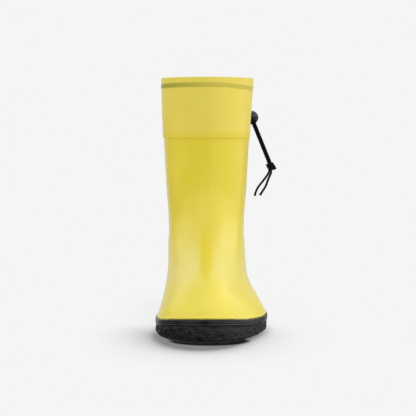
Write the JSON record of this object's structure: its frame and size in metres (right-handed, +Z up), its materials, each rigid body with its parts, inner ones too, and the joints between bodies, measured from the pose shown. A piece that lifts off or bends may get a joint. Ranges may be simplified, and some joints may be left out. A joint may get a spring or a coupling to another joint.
{
  "type": "rubber rain boot",
  "caption": "Left rubber rain boot with a welded drawcord collar, ball cord lock, lined shaft, cup outsole and foxing strip.",
  "frame": {"origin": "middle of the boot's footprint box, on the ground, measured without the free cord and the lock on it", "axes": "+Z up, toe to -Y, heel to +Y, outer side of the left foot to +X"},
  "size_m": [0.1275, 0.2742, 0.246],
  "materials": {
    "shell": "satin yellow",
    "collar": "satin, slightly clear yellow",
    "stiffener": "matte",
    "lining": "knitted",
    "eyelet": "gloss black",
    "cord": "braided",
    "lock": "gloss",
    "spring": "bright wire",
    "sole": "rough moulded",
    "foxing": "smooth satin",
    "filler": "foamed",
    "shank": "plain spring steel",
    "board": "fibre board",
    "footbed": "cloth over foam"
  },
  "bodies": {
    "boot": {"boot_shell": "shell", "back_strip": "shell", "toe_puff": "stiffener", "heel_counter": "stiffener", "lining": "lining", "collar": "collar", "collar_seam_tape": "collar", "eyelet_front": "eyelet", "eyelet_rear": "eyelet", "drawcord_hem_run": "cord", "drawcord_run_front": "cord", "drawcord_run_rear": "cord", "drawcord_tail_front": "cord", "drawcord_tail_rear": "cord", "cord_knot": "cord", "outsole": "sole", "foxing_strip": "foxing", "midsole_filler": "filler", "shank": "shank", "insole_board": "board", "footbed": "footbed"},
    "cord_lock": {"cord_lock_body": "lock", "cord_lock_spring": "spring"},
    "lock_button": {"cord_lock_plunger": "lock"}
  },
  "joints": [
    {"name": "lock_slide", "type": "slide", "parent": "boot", "child": "cord_lock", "axis": [0.377, 0, -0.9262], "range_m": [0, 0.044]},
    {"name": "release_press", "type": "slide", "parent": "cord_lock", "child": "lock_button", "axis": [0, -1, 0], "range_m": [0, 0.0025], "stiffness_N_per_m": 400, "springref_m": -0.004, "deforming": ["cord_lock_spring"]}
  ]
}
